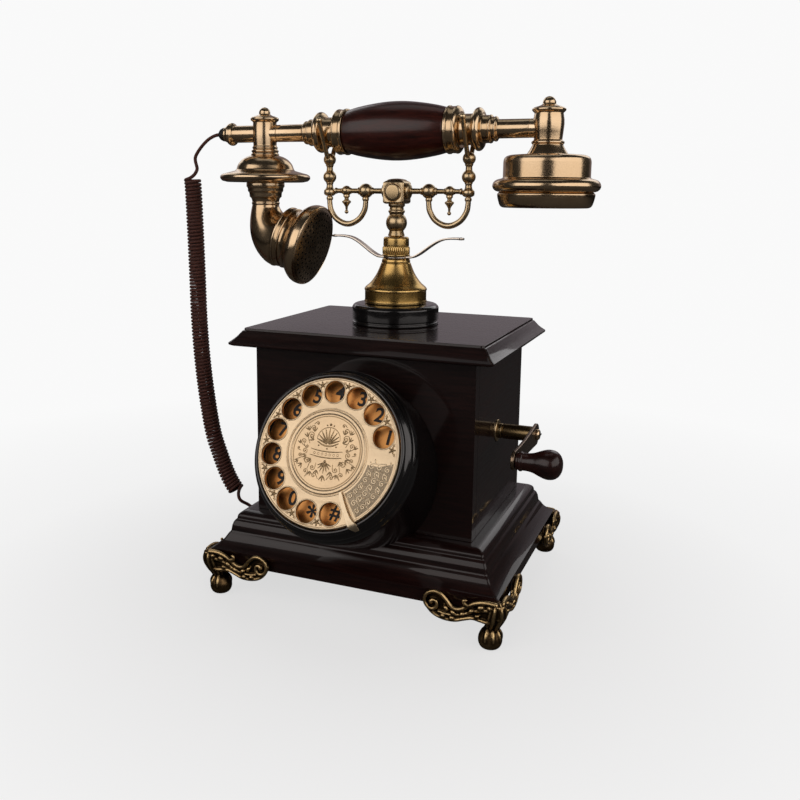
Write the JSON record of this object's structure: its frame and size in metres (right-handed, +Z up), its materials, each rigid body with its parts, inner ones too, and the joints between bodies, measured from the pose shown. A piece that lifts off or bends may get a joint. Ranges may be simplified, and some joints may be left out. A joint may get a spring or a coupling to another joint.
{
  "type": "retro desk telephone",
  "caption": "Wooden box telephone on scroll feet with a slanted rotary dial drum, side crank, and a horned handset that lifts off a brass cradle.",
  "frame": {"origin": "bottom centre of the bounding box, cord left out: on the desk plane under the feet", "axes": "+X to the right as seen by the person dialling (crank side), +Y to the back, +Z up"},
  "size_m": [0.3018, 0.2189, 0.3274],
  "materials": {
    "lacquered_wood": "dark stained hardwood under gloss lacquer",
    "bottom_board": "plain board, matt",
    "antique_brass": "antiqued, dark in the recesses, polished on the high spots",
    "gold_brass": "polished and lacquered",
    "pale_brass": "brushed, pale",
    "number_plate_copper": "satin copper colour with dark digits",
    "gloss_black": "high gloss",
    "spring_steel": "bright",
    "black_plastic": "moulded, matt",
    "black_rubber": "soft, matt",
    "red_wood": "turned, deep red-brown gloss lacquer",
    "green_board": "printed circuit board",
    "brown_fabric": "woven cord cover"
  },
  "bodies": {
    "base": {"lid_board": "lacquered_wood", "front_panel": "lacquered_wood", "back_panel": "lacquered_wood", "left_panel": "lacquered_wood", "right_panel": "lacquered_wood", "plinth_front": "lacquered_wood", "plinth_back": "lacquered_wood", "plinth_left": "lacquered_wood", "plinth_right": "lacquered_wood", "bottom_plate": "bottom_board", "foot_front_left": "antique_brass", "foot_front_right": "antique_brass", "foot_back_left": "antique_brass", "foot_back_right": "antique_brass", "post_disc": "gloss_black", "bell_base": "gold_brass", "knurled_collar": "gold_brass", "leaf_strip": "spring_steel", "dial_housing": "gloss_black", "number_plate": "number_plate_copper", "finger_stop": "pale_brass", "dial_mechanism": "spring_steel", "crank_bush": "gold_brass", "circuit_board": "green_board", "ringer_gong": "spring_steel", "hook_switch": "black_plastic", "line_jack": "black_plastic", "handset_jack": "black_plastic", "cord_lead": "brown_fabric", "cord_coil": "brown_fabric", "cord_plug": "black_plastic"},
    "cradle": {"cradle_post": "antique_brass", "cradle_head": "antique_brass", "cradle_arm_left": "antique_brass", "cradle_arm_right": "antique_brass", "scroll_left": "antique_brass", "scroll_right": "antique_brass", "fork_left": "antique_brass", "fork_right": "antique_brass", "hook_spring": "spring_steel"},
    "handset": {"handset_grip": "red_wood", "ferrule_left": "antique_brass", "ferrule_right": "antique_brass", "handset_tube_left": "antique_brass", "handset_tube_right": "antique_brass", "mouthpiece_column": "antique_brass", "mouthpiece_saucer": "antique_brass", "mouthpiece_horn": "antique_brass", "mouthpiece_grille": "antique_brass", "receiver_column": "antique_brass", "receiver_cup": "antique_brass", "receiver_cap": "antique_brass", "cord_gland": "black_rubber"},
    "dial": {"finger_wheel": "pale_brass", "dial_cap": "pale_brass"},
    "crank": {"crank_shaft": "gold_brass", "crank_arm": "antique_brass", "crank_screw": "antique_brass"},
    "knob": {"crank_knob": "red_wood"}
  },
  "joints": [
    {"name": "handset_lift", "type": "slide", "parent": "base", "child": "handset", "axis": [0, 0, 1], "range_m": [0, 0.12]},
    {"name": "cradle_rise", "type": "slide", "parent": "base", "child": "cradle", "axis": [0, 0, 1], "range_m": [0, 0.005], "deforming": ["hook_spring"]},
    {"name": "dial_spin", "type": "hinge", "parent": "base", "child": "dial", "pos_m": [0.00195, -0.08945, 0.118], "axis": [0, 0.9135, -0.4067], "range_deg": [0, 330], "stiffness_Nm_per_rad": 0.01, "springref_deg": -57.3},
    {"name": "crank_spin", "type": "hinge", "parent": "base", "child": "crank", "pos_m": [0.08695, 0.01605, 0.1133], "axis": [1, 0, 0], "continuous": true},
    {"name": "knob_spin", "type": "hinge", "parent": "crank", "child": "knob", "pos_m": [0.11695, -0.04195, 0.1122], "axis": [1, 0, 0], "continuous": true}
  ],
  "couplings": [
    {"joint": "cradle_rise", "follows": "handset_lift", "ratio": 0.04}
  ]
}
